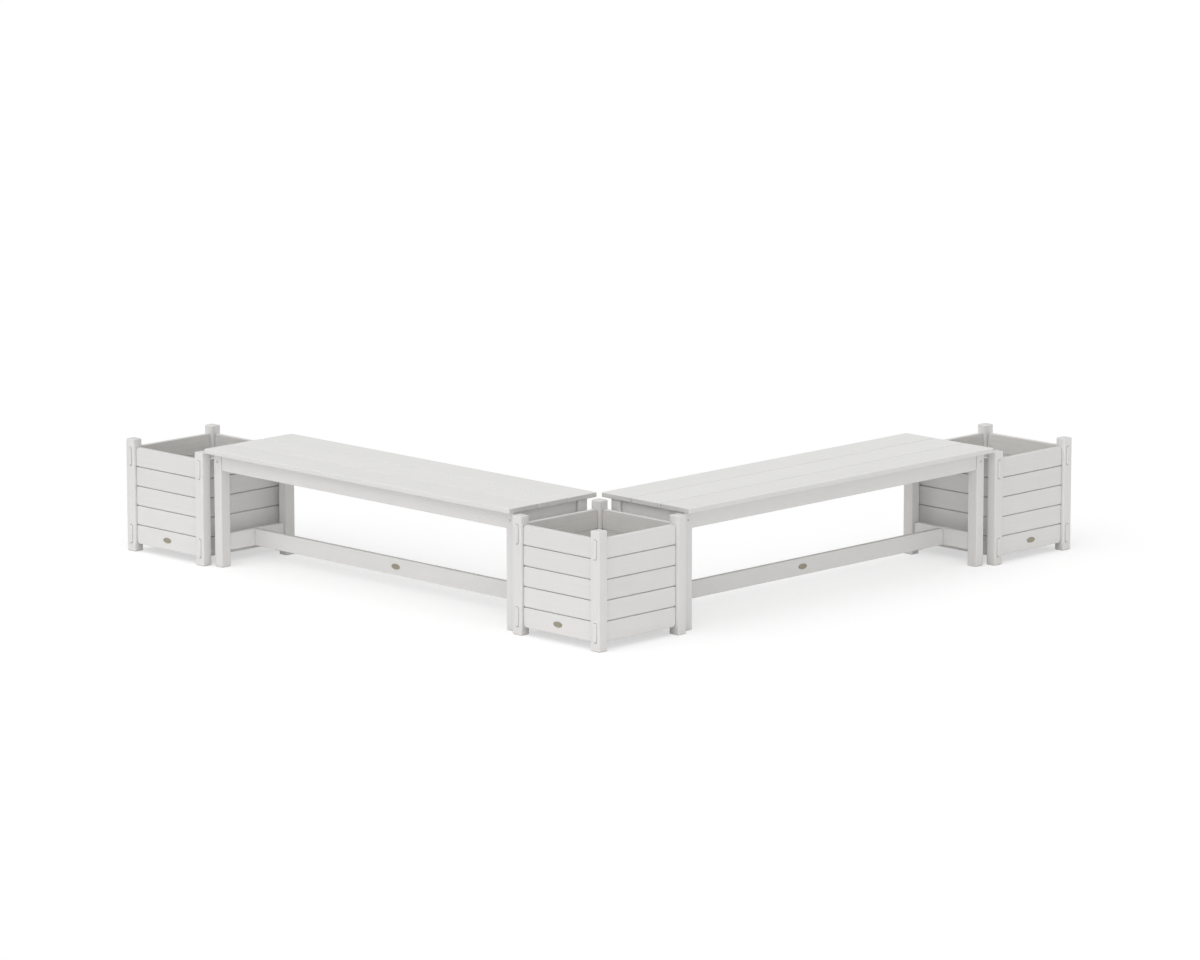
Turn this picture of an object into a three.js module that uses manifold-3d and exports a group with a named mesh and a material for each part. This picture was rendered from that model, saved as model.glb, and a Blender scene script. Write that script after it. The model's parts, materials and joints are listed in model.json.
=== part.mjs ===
// Planter and bench set for a street corner, park or terrace: three square planters and two
// backless benches in an L, all of white recycled-plastic lumber.
//
// Lengths are in millimetres and +Z is up. The origin is on the ground, in the middle of the
// set's outline. The arms of the L run along +X and +Y from the corner planter, which stands at
// -X, -Y. Left and right are as seen from outside the corner, looking towards +X and +Y.
//
// Joinery: the top and bottom rails of a planter's two side walls run right through the two face
// posts and stand proud there as routed tenon ends. Every other end of a slat, apron or stretcher
// is a shouldered stub tenon, housed in a mortise that is cut a little larger all round.

import * as THREE from 'three';
import { mergeVertices } from 'three/addons/utils/BufferGeometryUtils.js';
import Module from 'manifold-3d';

// Stock that the whole set is cut from
const BOARD_THICKNESS = 17.5;
const POST_WIDTH = 43;
const POST_DEPTH = 39;
const POST_ROUNDING = 3;
const POST_END_EASING = 2.5;
const BOARD_EASING = 1.5;
const BOARD_CORNER = 4;

// Joints
const JOINT_CLEARANCE = 0.3;
const STUB_LENGTH = 9;
const STUB_END_CLEARANCE = 0.5;
const CHEEK_SHOULDER = 3;
const EDGE_SHOULDER = 12;
const TENON_PROUD = 5;
const TENON_CLEARANCE = 0.8;
const TENON_SHOULDER = 0.25;
const TENON_FLAT = 1.5;
const TENON_EASING = 2;
const CUT_OVERRUN = 4;

// Planters: as wide as the seats are deep, less a reveal, with their post heads just below the seats
const PLANTER_REVEAL = 2.05;
const POST_BELOW_SEAT = 1;
const SLATS_PER_WALL = 5;
const SLAT_GAP = 3;
const SLAT_GAP_DEPTH = 6;
const LAP_RECESS = 0.3;
const LAP_SETBACK = 4;
const WALL_CORNER = 10;
const FOOT_HEIGHT = 30;
const POST_HEAD = 30;
const FLOOR_LIFT = 3;
const FLOOR_CLEAT_HEIGHT = 24.5;
const FLOOR_HOUSING = 1;
const FLOOR_BOARDS = 3;
const FLOOR_GAP = 4;

// Benches
const BENCH_LENGTH = 1574;
const SEAT_HEIGHT = 435.5;
const SEAT_BOARDS = 3;
const SEAT_BOARD_WIDTH = 139.7;
const SEAT_BOARD_GAP = 3;
const SEAT_EASING = 2.5;
const SEAT_CORNER = 4;
const SEAT_END_OVERHANG = 12;
const SEAT_SIDE_OVERHANG = 35;
const APRON_HEIGHT = 62;
const APRON_RECESS = 3;
const STRETCHER_HEIGHT = 62;
const STRETCHER_LIFT = 57;
const SEAT_BATTEN_WIDTH = 70;
const SEAT_BATTEN_INSET = 315;

// Layout of the set
const PLANTER_TO_BENCH = 12.5;

// Sizes that follow from the ones above
const SEAT_UNDERSIDE = SEAT_HEIGHT - BOARD_THICKNESS;
const BENCH_DEPTH = SEAT_BOARDS * SEAT_BOARD_WIDTH + (SEAT_BOARDS - 1) * SEAT_BOARD_GAP;
const PLANTER_WIDTH = BENCH_DEPTH - 2 * PLANTER_REVEAL;
const POST_HEIGHT = SEAT_UNDERSIDE - POST_BELOW_SEAT;
const WALL_TOP = POST_HEIGHT - POST_HEAD;
const SLAT_PITCH = (WALL_TOP - FOOT_HEIGHT + SLAT_GAP) / SLATS_PER_WALL;
const SLAT_HEIGHT = SLAT_PITCH - SLAT_GAP;
const TENON_ROUNDING = (BOARD_THICKNESS - 2 * TENON_SHOULDER - TENON_FLAT) / 2;
const ARM_LENGTH = PLANTER_WIDTH + PLANTER_TO_BENCH + BENCH_LENGTH + PLANTER_TO_BENCH + PLANTER_WIDTH;
const OUTLINE_CENTRE = (ARM_LENGTH - TENON_PROUD) / 2;

const AXIS_X = new THREE.Vector3(1, 0, 0);
const AXIS_Y = new THREE.Vector3(0, 1, 0);
const AXIS_Z = new THREE.Vector3(0, 0, 1);

// How a board lies: its length, its breadth and its thickness each run along one axis
const FLAT = new THREE.Matrix4();
const FLAT_ALONG_Y = new THREE.Matrix4().makeBasis(AXIS_Y, AXIS_X.clone().negate(), AXIS_Z);
const ON_EDGE_ALONG_X = new THREE.Matrix4().makeBasis(AXIS_X, AXIS_Z, AXIS_Y.clone().negate());
const ON_EDGE_ALONG_Y = new THREE.Matrix4().makeBasis(AXIS_Y, AXIS_Z, AXIS_X);
const UPRIGHT_ACROSS_Y = new THREE.Matrix4().makeBasis(AXIS_Z, AXIS_Y, AXIS_X.clone().negate());

const lumber = {
  post: new THREE.MeshStandardMaterial({ color: 0xdededc, roughness: 0.55, metalness: 0 }),
  slat: new THREE.MeshStandardMaterial({ color: 0xe0e0de, roughness: 0.55, metalness: 0 }),
  seat: new THREE.MeshStandardMaterial({ color: 0xe3e3e1, roughness: 0.5, metalness: 0 }),
  frame: new THREE.MeshStandardMaterial({ color: 0xdcdcda, roughness: 0.55, metalness: 0 }),
};

const wasm = await Module();
wasm.setup();

function toSolid(geometry) {
  const bare = geometry.clone();
  bare.deleteAttribute('normal');
  bare.deleteAttribute('uv');
  const shared = mergeVertices(bare);
  return new wasm.Manifold(
    new wasm.Mesh({
      numProp: 3,
      vertProperties: new Float32Array(shared.attributes.position.array),
      triVerts: new Uint32Array(shared.index.array),
    }),
  );
}

function toGeometry(solid) {
  const mesh = solid.getMesh();
  const geometry = new THREE.BufferGeometry();
  geometry.setAttribute('position', new THREE.BufferAttribute(new Float32Array(mesh.vertProperties), 3));
  geometry.setIndex(new THREE.BufferAttribute(new Uint32Array(mesh.triVerts), 1));
  geometry.computeVertexNormals();
  return geometry;
}

// A closed rectangle about the origin. Its four corners, each an arc of a radius in some steps, go
// round from the lower one at the start of its length.
function roundedRectangle(length, breadth, corners) {
  const sides = [[-1, -1], [1, -1], [1, 1], [-1, 1]];
  const points = corners.flatMap(({ radius, steps }, index) => {
    const [sideX, sideY] = sides[index];
    const centreX = sideX * (length / 2 - radius);
    const centreY = sideY * (breadth / 2 - radius);
    return Array.from({ length: steps + 1 }, (_, step) => {
      const angle = ((index + 2 + step / steps) * Math.PI) / 2;
      return new THREE.Vector2(centreX + radius * Math.cos(angle), centreY + radius * Math.sin(angle));
    });
  });
  return new THREE.Shape(points);
}

// A board about the origin: its outline is extruded through the thickness, and the easing runs
// round both faces inside the board's full size
function board(size, lie, shape = {}) {
  const [length, breadth, thickness] = size;
  const { corner = BOARD_CORNER, cornerSteps = 1, easing = BOARD_EASING, easingSteps = 1 } = shape;
  const { corners = Array(4).fill({ radius: corner, steps: cornerSteps }) } = shape;
  const geometry = new THREE.ExtrudeGeometry(roundedRectangle(length, breadth, corners), {
    depth: thickness - 2 * easing,
    steps: 1,
    bevelEnabled: true,
    bevelThickness: easing,
    bevelSize: easing,
    bevelOffset: -easing,
    bevelSegments: easingSteps,
  });
  geometry.translate(0, 0, easing - thickness / 2);
  geometry.applyMatrix4(lie);
  return geometry;
}

// A square-edged board about the origin, for the laps, battens, cleats and floor that stay out of
// sight
function plainBoard(size, lie) {
  const geometry = new THREE.BoxGeometry(...size);
  geometry.applyMatrix4(lie);
  return geometry;
}

// A square-edged block given by its lowest and highest corners, for tenons, mortises and notches
function block(low, high) {
  const geometry = new THREE.BoxGeometry(high[0] - low[0], high[1] - low[1], high[2] - low[2]);
  geometry.translate((low[0] + high[0]) / 2, (low[1] + high[1]) / 2, (low[2] + high[2]) / 2);
  return toSolid(geometry);
}

// The block of a stub tenon, or of its mortise when a clearance is given. The member runs along
// axis 0 or 1; its shoulder is at end, and way is +1 or -1 for the side that the tenon points to.
function stub({ axis, end, way, cross, base, height, reach, back, clearance = 0 }) {
  const across = 1 - axis;
  const low = [0, 0, 0];
  const high = [0, 0, 0];
  const tip = end + way * reach;
  const root = end - way * back;
  low[axis] = Math.min(tip, root);
  high[axis] = Math.max(tip, root);
  const cheek = BOARD_THICKNESS / 2 - CHEEK_SHOULDER + clearance;
  low[across] = cross - cheek;
  high[across] = cross + cheek;
  low[2] = base + EDGE_SHOULDER - clearance;
  high[2] = base + height - EDGE_SHOULDER + clearance;
  return block(low, high);
}

function tenon(place) {
  return stub({ ...place, reach: STUB_LENGTH, back: CUT_OVERRUN });
}

function mortise(place) {
  return stub({
    ...place,
    reach: STUB_LENGTH + STUB_END_CLEARANCE,
    back: JOINT_CLEARANCE + CUT_OVERRUN,
    clearance: JOINT_CLEARANCE,
  });
}

// The routed tenon of a side wall's rail, or its slot through a face post when a clearance is
// given: nearly the slat's own section, with its top and bottom well rounded
function routed({ start, end, cross, base, clearance = 0 }) {
  const growth = 2 * (clearance - TENON_SHOULDER);
  const size = [SLAT_HEIGHT + growth, BOARD_THICKNESS + growth, end - start];
  const shape = { corner: TENON_ROUNDING, cornerSteps: 2, easing: TENON_EASING };
  const geometry = board(size, UPRIGHT_ACROSS_Y, shape);
  geometry.translate((start + end) / 2, cross, base + SLAT_HEIGHT / 2);
  return toSolid(geometry);
}

function joined(solids) {
  return solids.reduce((whole, solid) => whole.add(solid));
}

function cutBy(solid, cutters) {
  return cutters.reduce((rest, cutter) => rest.subtract(cutter), solid);
}

function piece(name, solid, material) {
  const mesh = new THREE.Mesh(toGeometry(solid), material);
  mesh.name = name;
  return mesh;
}

// An upright of the post stock, standing on the ground with its centre at x, y
function upright(x, y, depth, width, height) {
  const shape = { corner: POST_ROUNDING, cornerSteps: 2, easing: POST_END_EASING };
  const geometry = board([depth, width, height], FLAT, shape);
  geometry.translate(x, y, height / 2);
  return toSolid(geometry);
}

// Planter, about its own centre. The two side walls run along X and their rails pass through the
// face posts; the face wall, towards -X, and the rear wall run along Y between the posts.
const POST_X = PLANTER_WIDTH / 2 - POST_DEPTH / 2;
const POST_Y = PLANTER_WIDTH / 2 - POST_WIDTH / 2;
const SIDE_WALL_END = PLANTER_WIDTH / 2 - POST_DEPTH - JOINT_CLEARANCE;
const FACE_WALL_END = PLANTER_WIDTH / 2 - POST_WIDTH - JOINT_CLEARANCE;
const SIDE_WALL_INSIDE = POST_Y - BOARD_THICKNESS / 2;
const FACE_WALL_INSIDE = POST_X - BOARD_THICKNESS / 2;
const CLEAT_BASE = FOOT_HEIGHT + FLOOR_LIFT;
const FLOOR_UNDERSIDE = CLEAT_BASE + FLOOR_CLEAT_HEIGHT;
const FLOOR_TOP = FLOOR_UNDERSIDE + BOARD_THICKNESS;

function slatBase(index) {
  return FOOT_HEIGHT + index * SLAT_PITCH;
}

function isRail(index) {
  return index === 0 || index === SLATS_PER_WALL - 1;
}

function planterPost(sideX, sideY) {
  const x = sideX * POST_X;
  const y = sideY * POST_Y;
  const cutters = [];
  for (let index = 0; index < SLATS_PER_WALL; index += 1) {
    const base = slatBase(index);
    const face = { axis: 1, end: sideY * FACE_WALL_END, way: sideY, cross: x, base, height: SLAT_HEIGHT };
    const side = { axis: 0, end: sideX * SIDE_WALL_END, way: sideX, cross: y, base, height: SLAT_HEIGHT };
    cutters.push(mortise(face));
    if (isRail(index) && sideX < 0) {
      const start = -PLANTER_WIDTH / 2 - CUT_OVERRUN;
      const end = CUT_OVERRUN - SIDE_WALL_END;
      cutters.push(routed({ start, end, cross: y, base, clearance: TENON_CLEARANCE }));
    } else {
      cutters.push(mortise(side));
    }
  }
  return cutBy(upright(x, y, POST_DEPTH, POST_WIDTH, POST_HEIGHT), cutters);
}

// A wall's four outer corners are well rounded where they meet the posts, apart from those at the
// start of a rail, which run on into its routed tenon
function slatCorners(index, startsInTenon) {
  const small = { radius: BOARD_CORNER, steps: 1 };
  const large = { radius: WALL_CORNER, steps: 2 };
  const atStart = startsInTenon ? small : large;
  if (index === 0) {
    return [atStart, large, small, small];
  }
  return index === SLATS_PER_WALL - 1 ? [small, small, large, atStart] : [small, small, small, small];
}

// Where two slats of a wall meet, their laps close the gap behind its outer few millimetres, nearly
// flush with the inner face. The laps stop short of the posts. All of them are one sheet here.
function wallLaps(isSideWall, end, cross, side) {
  const base = slatBase(0) + SLAT_HEIGHT / 2;
  const height = slatBase(SLATS_PER_WALL - 1) + SLAT_HEIGHT / 2 - base;
  const thickness = BOARD_THICKNESS - SLAT_GAP_DEPTH - LAP_RECESS;
  const lie = isSideWall ? ON_EDGE_ALONG_X : ON_EDGE_ALONG_Y;
  const geometry = plainBoard([2 * (end - LAP_SETBACK), height, thickness], lie);
  const middle = cross + (side * (LAP_RECESS - SLAT_GAP_DEPTH)) / 2;
  geometry.translate(isSideWall ? 0 : middle, isSideWall ? middle : 0, base + height / 2);
  return toSolid(geometry);
}

// Five slats with the laps that join them; axis is 0 for a side wall and 1 for the face or rear
// wall, and side tells which of the two it is
function planterWall(axis, side) {
  const isSideWall = axis === 0;
  const end = isSideWall ? SIDE_WALL_END : FACE_WALL_END;
  const cross = side * (isSideWall ? POST_Y : POST_X);
  const lie = isSideWall ? ON_EDGE_ALONG_X : ON_EDGE_ALONG_Y;
  const solids = [wallLaps(isSideWall, end, cross, side)];
  for (let index = 0; index < SLATS_PER_WALL; index += 1) {
    const base = slatBase(index);
    const startsInTenon = isSideWall && isRail(index);
    const corners = slatCorners(index, startsInTenon);
    const geometry = board([2 * end, SLAT_HEIGHT, BOARD_THICKNESS], lie, { corners });
    geometry.translate(isSideWall ? 0 : cross, isSideWall ? cross : 0, base + SLAT_HEIGHT / 2);
    solids.push(toSolid(geometry));
    solids.push(tenon({ axis, end, way: 1, cross, base, height: SLAT_HEIGHT }));
    if (startsInTenon) {
      const tip = -PLANTER_WIDTH / 2 - TENON_PROUD;
      solids.push(routed({ start: tip, end: CUT_OVERRUN - end, cross, base }));
    } else {
      solids.push(tenon({ axis, end: -end, way: -1, cross, base, height: SLAT_HEIGHT }));
    }
  }
  return joined(solids);
}

// A notch in a corner of the floor, over the spans of x and y that are given by their ends in any
// order
function floorNotch(x, y) {
  return block(
    [Math.min(...x), Math.min(...y), CLEAT_BASE - CUT_OVERRUN],
    [Math.max(...x), Math.max(...y), FLOOR_TOP + CUT_OVERRUN],
  );
}

// Floor boards along Y on a cleat along each side wall, notched round the posts
function planterFloor() {
  const halfX = FACE_WALL_INSIDE - JOINT_CLEARANCE;
  const halfY = SIDE_WALL_INSIDE - JOINT_CLEARANCE;
  const boardWidth = (2 * halfX - (FLOOR_BOARDS - 1) * FLOOR_GAP) / FLOOR_BOARDS;
  const solids = [];
  for (let index = 0; index < FLOOR_BOARDS; index += 1) {
    const geometry = plainBoard([2 * halfY, boardWidth, BOARD_THICKNESS], FLAT_ALONG_Y);
    const x = -halfX + boardWidth / 2 + index * (boardWidth + FLOOR_GAP);
    geometry.translate(x, 0, FLOOR_TOP - BOARD_THICKNESS / 2);
    solids.push(toSolid(geometry));
  }
  const cleatHeight = FLOOR_CLEAT_HEIGHT + FLOOR_HOUSING;
  const notches = [];
  for (const side of [-1, 1]) {
    const cleat = plainBoard([2 * SIDE_WALL_END, cleatHeight, BOARD_THICKNESS], ON_EDGE_ALONG_X);
    cleat.translate(0, side * (halfY - BOARD_THICKNESS / 2), CLEAT_BASE + cleatHeight / 2);
    solids.push(toSolid(cleat));
    for (const way of [-1, 1]) {
      const across = [way * FACE_WALL_END, (way * PLANTER_WIDTH) / 2];
      notches.push(floorNotch([side * SIDE_WALL_END, (side * PLANTER_WIDTH) / 2], across));
    }
  }
  return cutBy(joined(solids), notches);
}

function planter(name) {
  const group = new THREE.Group();
  const sides = { face: -1, rear: 1 };
  const hands = { left: 1, right: -1 };
  for (const [depthName, sideX] of Object.entries(sides)) {
    group.add(piece(`${name}_${depthName}_wall`, planterWall(1, sideX), lumber.slat));
    for (const [handName, sideY] of Object.entries(hands)) {
      group.add(piece(`${name}_${depthName}_${handName}_post`, planterPost(sideX, sideY), lumber.post));
    }
  }
  for (const [handName, sideY] of Object.entries(hands)) {
    group.add(piece(`${name}_${handName}_wall`, planterWall(0, sideY), lumber.slat));
  }
  group.add(piece(`${name}_floor`, planterFloor(), lumber.frame));
  return group;
}

// Bench, about its own centre, with its length along X and its outer side towards -Y
const LEG_X = BENCH_LENGTH / 2 - SEAT_END_OVERHANG - POST_DEPTH / 2;
const LEG_Y = BENCH_DEPTH / 2 - SEAT_SIDE_OVERHANG - POST_WIDTH / 2;
const LEG_TOP = SEAT_UNDERSIDE - JOINT_CLEARANCE;
const LONG_APRON_Y = BENCH_DEPTH / 2 - SEAT_SIDE_OVERHANG - APRON_RECESS - BOARD_THICKNESS / 2;
const LONG_MEMBER_END = LEG_X - POST_DEPTH / 2 - JOINT_CLEARANCE;
const END_MEMBER_END = LEG_Y - POST_WIDTH / 2 - JOINT_CLEARANCE;
const LONG_STRETCHER_END = LEG_X - BOARD_THICKNESS / 2 - JOINT_CLEARANCE;
const APRON_BASE = LEG_TOP - APRON_HEIGHT;

function benchLeg(sideX, sideY) {
  const x = sideX * LEG_X;
  const y = sideY * LEG_Y;
  const endMember = { axis: 1, end: sideY * END_MEMBER_END, way: sideY, cross: x };
  const longMember = { axis: 0, end: sideX * LONG_MEMBER_END, way: sideX, cross: sideY * LONG_APRON_Y };
  return cutBy(upright(x, y, POST_DEPTH, POST_WIDTH, LEG_TOP), [
    mortise({ ...endMember, base: APRON_BASE, height: APRON_HEIGHT }),
    mortise({ ...endMember, base: STRETCHER_LIFT, height: STRETCHER_HEIGHT }),
    mortise({ ...longMember, base: APRON_BASE, height: APRON_HEIGHT }),
  ]);
}

// A rail on edge between two uprights or two rails, with a stub tenon at each end
function rail(axis, end, cross, base, height) {
  const lie = axis === 0 ? ON_EDGE_ALONG_X : ON_EDGE_ALONG_Y;
  const geometry = board([2 * end, height, BOARD_THICKNESS], lie);
  geometry.translate(axis === 0 ? 0 : cross, axis === 0 ? cross : 0, base + height / 2);
  const tenons = [-1, 1].map((way) => tenon({ axis, end: way * end, way, cross, base, height }));
  return joined([toSolid(geometry), ...tenons]);
}

function endStretcher(sideX) {
  const solid = rail(1, END_MEMBER_END, sideX * LEG_X, STRETCHER_LIFT, STRETCHER_HEIGHT);
  const place = { axis: 0, end: sideX * LONG_STRETCHER_END, way: sideX, cross: 0 };
  return cutBy(solid, [mortise({ ...place, base: STRETCHER_LIFT, height: STRETCHER_HEIGHT })]);
}

function seatBoard(index) {
  const shape = { corner: SEAT_CORNER, cornerSteps: 2, easing: SEAT_EASING, easingSteps: 2 };
  const geometry = board([BENCH_LENGTH, SEAT_BOARD_WIDTH, BOARD_THICKNESS], FLAT, shape);
  const pitch = SEAT_BOARD_WIDTH + SEAT_BOARD_GAP;
  const y = -BENCH_DEPTH / 2 + SEAT_BOARD_WIDTH / 2 + index * pitch;
  geometry.translate(0, y, SEAT_HEIGHT - BOARD_THICKNESS / 2);
  return toSolid(geometry);
}

function seatBatten(side) {
  const halfLength = LONG_APRON_Y - BOARD_THICKNESS / 2 - JOINT_CLEARANCE;
  const geometry = plainBoard([2 * halfLength, SEAT_BATTEN_WIDTH, BOARD_THICKNESS], FLAT_ALONG_Y);
  geometry.translate(side * (BENCH_LENGTH / 2 - SEAT_BATTEN_INSET), 0, LEG_TOP - BOARD_THICKNESS / 2);
  return toSolid(geometry);
}

function bench(name, cornerSide) {
  const group = new THREE.Group();
  const ends = { corner: cornerSide, far: -cornerSide };
  const sides = { outer: -1, inner: 1 };
  for (const [endName, sideX] of Object.entries(ends)) {
    for (const [sideName, sideY] of Object.entries(sides)) {
      group.add(piece(`${name}_${endName}_${sideName}_leg`, benchLeg(sideX, sideY), lumber.post));
    }
    const endApron = rail(1, END_MEMBER_END, sideX * LEG_X, APRON_BASE, APRON_HEIGHT);
    group.add(piece(`${name}_${endName}_apron`, endApron, lumber.frame));
    group.add(piece(`${name}_${endName}_stretcher`, endStretcher(sideX), lumber.frame));
    group.add(piece(`${name}_${endName}_batten`, seatBatten(sideX), lumber.frame));
  }
  for (const [sideName, sideY] of Object.entries(sides)) {
    const longApron = rail(0, LONG_MEMBER_END, sideY * LONG_APRON_Y, APRON_BASE, APRON_HEIGHT);
    group.add(piece(`${name}_${sideName}_apron`, longApron, lumber.frame));
  }
  const longStretcher = rail(0, LONG_STRETCHER_END, 0, STRETCHER_LIFT, STRETCHER_HEIGHT);
  group.add(piece(`${name}_long_stretcher`, longStretcher, lumber.frame));
  for (let index = 0; index < SEAT_BOARDS; index += 1) {
    group.add(piece(`${name}_seat_board_${index + 1}`, seatBoard(index), lumber.seat));
  }
  return group;
}

// The set: an arm's stations are measured along it from the corner planter's outer face
const NEAR = PLANTER_WIDTH / 2 - OUTLINE_CENTRE;
const BENCH_STATION = PLANTER_WIDTH + PLANTER_TO_BENCH + BENCH_LENGTH / 2 - OUTLINE_CENTRE;
const FAR = ARM_LENGTH - PLANTER_WIDTH / 2 - OUTLINE_CENTRE;

const set = new THREE.Group();

const cornerPlanter = planter('corner_planter');
cornerPlanter.position.set(NEAR, NEAR, 0);
set.add(cornerPlanter);

const rightBench = bench('right_bench', -1);
rightBench.position.set(BENCH_STATION, NEAR, 0);
set.add(rightBench);

const rightPlanter = planter('right_planter');
rightPlanter.position.set(FAR, NEAR, 0);
rightPlanter.rotation.z = Math.PI / 2;
set.add(rightPlanter);

const leftBench = bench('left_bench', 1);
leftBench.position.set(NEAR, BENCH_STATION, 0);
leftBench.rotation.z = -Math.PI / 2;
set.add(leftBench);

const leftPlanter = planter('left_planter');
leftPlanter.position.set(NEAR, FAR, 0);
set.add(leftPlanter);

export default set;
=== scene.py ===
"""Looks for a set of slatted planters and backless benches in white plastic lumber.

The packed solids stay where they are. This file eases their edges, gives them their lumber
finish, adds the oval badges and the screws, and sets a plain studio round them. Lengths are in
metres, +Z is up, and the origin is on the ground in the middle of the set. The arms of the L run
along +X and +Y from the corner planter.
"""

import json
import math

import bpy
import numpy as np
from mathutils import Matrix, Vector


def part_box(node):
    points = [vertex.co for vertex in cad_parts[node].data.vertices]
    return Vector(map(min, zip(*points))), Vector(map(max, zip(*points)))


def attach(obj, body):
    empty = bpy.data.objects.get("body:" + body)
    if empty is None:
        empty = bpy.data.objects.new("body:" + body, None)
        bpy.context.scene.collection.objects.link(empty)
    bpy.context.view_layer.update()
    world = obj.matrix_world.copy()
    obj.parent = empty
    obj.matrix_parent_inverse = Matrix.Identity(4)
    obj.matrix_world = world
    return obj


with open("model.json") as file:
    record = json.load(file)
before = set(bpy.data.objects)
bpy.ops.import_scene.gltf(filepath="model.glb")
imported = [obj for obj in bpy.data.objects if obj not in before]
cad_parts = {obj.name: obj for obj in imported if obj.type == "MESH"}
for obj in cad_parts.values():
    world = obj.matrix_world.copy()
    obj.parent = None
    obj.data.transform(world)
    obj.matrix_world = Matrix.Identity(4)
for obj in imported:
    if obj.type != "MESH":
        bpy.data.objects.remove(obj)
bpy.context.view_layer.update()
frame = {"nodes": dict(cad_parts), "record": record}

bl_info = {
    "name": "Planter and bench set",
    "version": (1, 0, 0),
    "blender": (4, 5, 0),
    "location": "3D View > Sidebar > Planter set",
    "description": "Lumber finish, badges, screws and studio for a planter and bench set",
    "category": "Object",
}

PLANTERS = ("corner_planter", "right_planter", "left_planter")
BENCHES = ("right_bench", "left_bench")
BENCH_ENDS = ("corner", "far")
UP = 2


def node_box(name):
    """The lowest and highest corners of a solid, as arrays."""
    low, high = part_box(name)
    return np.array(low), np.array(high)


def floor_middle(planter):
    """The middle of a planter's floor, which is also the middle of the planter in plan."""
    return np.mean(node_box(f"{planter}_floor"), axis=0)


def across_axis(name):
    """The level axis from the outer to the inner side of a planter or bench: y along the right
    arm, and x along the left arm and for the corner planter."""
    return 1 if name.startswith("right") else 0


# Sizes read from the solids
WALL_LOW, WALL_HIGH = (corner[UP] for corner in node_box("corner_planter_face_wall"))
SLATS_PER_WALL = 5
SLAT_GAP = 0.003
SLAT_PITCH = (WALL_HIGH - WALL_LOW + SLAT_GAP) / SLATS_PER_WALL
SLAT_HEIGHT = SLAT_PITCH - SLAT_GAP
APRON_MIDDLE = float(np.mean(node_box("left_bench_far_apron"), axis=0)[UP])
PLANTER_X = tuple(float(floor_middle(name)[0]) for name in ("corner_planter", "right_planter"))
PLANTER_Y = tuple(float(floor_middle(name)[1]) for name in ("corner_planter", "left_planter"))

# How the boards differ: each takes one of a few tones in turn, which together span a range of
# lightness, where 1 is the whole way from the dark board to the light one
TONES = 5
TONE_STEP = 3
TONE_RANGE = 0.30

# Shades of the dark and of the light board, as factors of the colour; all but the first pair are
# painted shade on faces that get less light
BOARD_SHADES = (0.955, 1.035)
SEAT_SIDE_PAINTED_SHADES = (0.86, 0.94)
SEAT_END_PAINTED_SHADES = (0.70, 0.80)
TOP_PAINTED_SHADES = (0.74, 0.88)
INNER_PAINTED_SHADES = (0.78, 1.05)

# Pattern scales per metre: on the lumber, lengthwise and crosswise for the brushed ones, on the
# badges, on the screws and on the floor
GRAIN_SCALES = (7.0, 520.0)
BRUSHING_SCALES = (5.0, 190.0)
STREAK_SCALES = (1.6, 85.0)
MOTTLE_SCALE = 9.0
SKIN_SCALE = 1500.0
PORE_SCALE = 700.0
CAST_SCALE = 1400.0
LACQUER_SCALE = 160.0
SATIN_SCALE = 2600.0
FILM_SCALE = 420.0
FLOOR_CLOUD_SCALE = 0.6

# Wear and dirt on the lumber, and painted shade in its joints and sheltered places: the most
# that shows of each, its shade as a factor of the colour, and how far it reaches
PORE_SHARE, PORE_SHADE = 0.65, 0.80
WORN_SHARE, WORN_SHADE, WORN_RADIUS = 0.40, 1.05, 0.0022
DUST_SHARE, DUST_SHADES, DUST_HEIGHT = 0.30, (0.86, 0.84, 0.79), 0.06
PAINTED_SHADE_SHARE, PAINTED_SHADE_TINT, PAINTED_SHADE_REACH = 0.50, 0.40, 0.07

# The floor's paint: what lights the set from below, and what is seen
FLOOR_WHITE = (0.96, 0.96, 0.96, 1.0)
FLOOR_SEEN_GREY = (0.49, 0.49, 0.49, 1.0)

# Easing of the solids' edges
JOIN_DISTANCE = 0.00001
SHARP_ANGLE = math.radians(20)

# The badges' pins, and how the screws stand on their boards
PIN_RADIUS = 0.00125
PIN_RISE = 0.0007
PIN_FOOT_SHARE = 0.72
PIN_REACH_SHARE = 0.36
FLOOR_BOARDS = 3
FLOOR_SCREW_FROM_END = 0.009
FLOOR_SCREW_SHARE = 0.3
SEAT_BOARDS = (1, 2, 3)
BATTEN_MARGIN = 0.012
SEAT_SCREW_SHARE = 0.26
SEAT_SCREW_STAGGER = 0.018


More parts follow.
